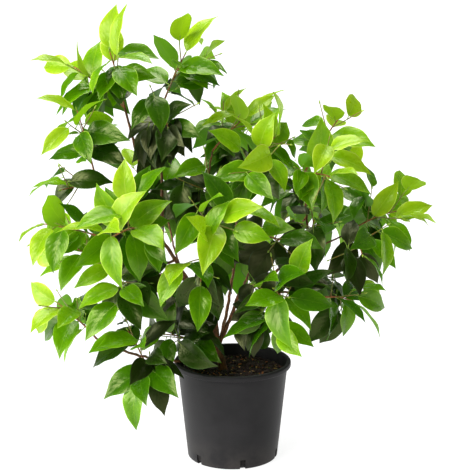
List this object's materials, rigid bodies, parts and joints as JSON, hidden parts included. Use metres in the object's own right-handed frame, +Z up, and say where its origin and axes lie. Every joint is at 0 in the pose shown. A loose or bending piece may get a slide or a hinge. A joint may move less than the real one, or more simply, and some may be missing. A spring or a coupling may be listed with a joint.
{
  "type": "potted camellia shrub",
  "caption": "Young evergreen camellia with several leaning stems and glossy oval leaves with drip tips, standing in a round tapered nursery pot of potting mix",
  "frame": {"origin": "centre of the flat underside of the pot, on the surface that it stands on", "axes": "+Z up, -Y towards the front view, +X to the right of it"},
  "size_m": [0.6929, 0.5728, 0.7741],
  "materials": {
    "pot": "moulded polypropylene with a fine satin grain",
    "potting_mix": "coarse damp bark and peat",
    "bark": "thin smooth bark with fine fissures",
    "foliage": "glossy waxy leaves, paler and matt underneath"
  },
  "bodies": {
    "root": {"pot": "pot", "potting_mix": "potting_mix", "trunk": "bark", "back_left_bough": "bark", "back_right_bough": "bark", "back_stem": "bark", "back_top_bough": "bark", "bottom_left_bough": "bark", "centre_right_bough": "bark", "centre_stem": "bark", "centre_top_bough": "bark", "drooping_bough": "bark", "front_bough": "bark", "inner_bough": "bark", "left_front_bough": "bark", "left_leader": "bark", "left_low_bough": "bark", "left_stem": "bark", "middle_leader": "bark", "right_front_bough": "bark", "right_leader": "bark", "right_low_bough": "bark", "right_side_bough": "bark", "right_stem": "bark", "right_top_bough": "bark", "shoulder_bough": "bark", "foliage_back_left": "foliage", "foliage_back_low": "foliage", "foliage_back_right": "foliage", "foliage_back_top": "foliage", "foliage_bottom_left": "foliage", "foliage_bottom_left_inner": "foliage", "foliage_centre_right_front": "foliage", "foliage_centre_right_top": "foliage", "foliage_centre_top": "foliage", "foliage_drooping": "foliage", "foliage_front_centre": "foliage", "foliage_front_left": "foliage", "foliage_front_low_centre": "foliage", "foliage_front_right_low": "foliage", "foliage_inner_right": "foliage", "foliage_inner_side": "foliage", "foliage_inner_top": "foliage", "foliage_left_low": "foliage", "foliage_left_low_front": "foliage", "foliage_left_shoulder": "foliage", "foliage_left_side": "foliage", "foliage_low_centre": "foliage", "foliage_lower_right": "foliage", "foliage_right_low": "foliage", "foliage_right_side": "foliage", "foliage_right_side_low": "foliage", "foliage_right_top": "foliage", "foliage_right_top_front": "foliage", "foliage_shoulder_side": "foliage", "foliage_top_left": "foliage", "foliage_top_left_shoot": "foliage", "foliage_top_middle": "foliage", "foliage_upper_front": "foliage"}
  },
  "joints": []
}
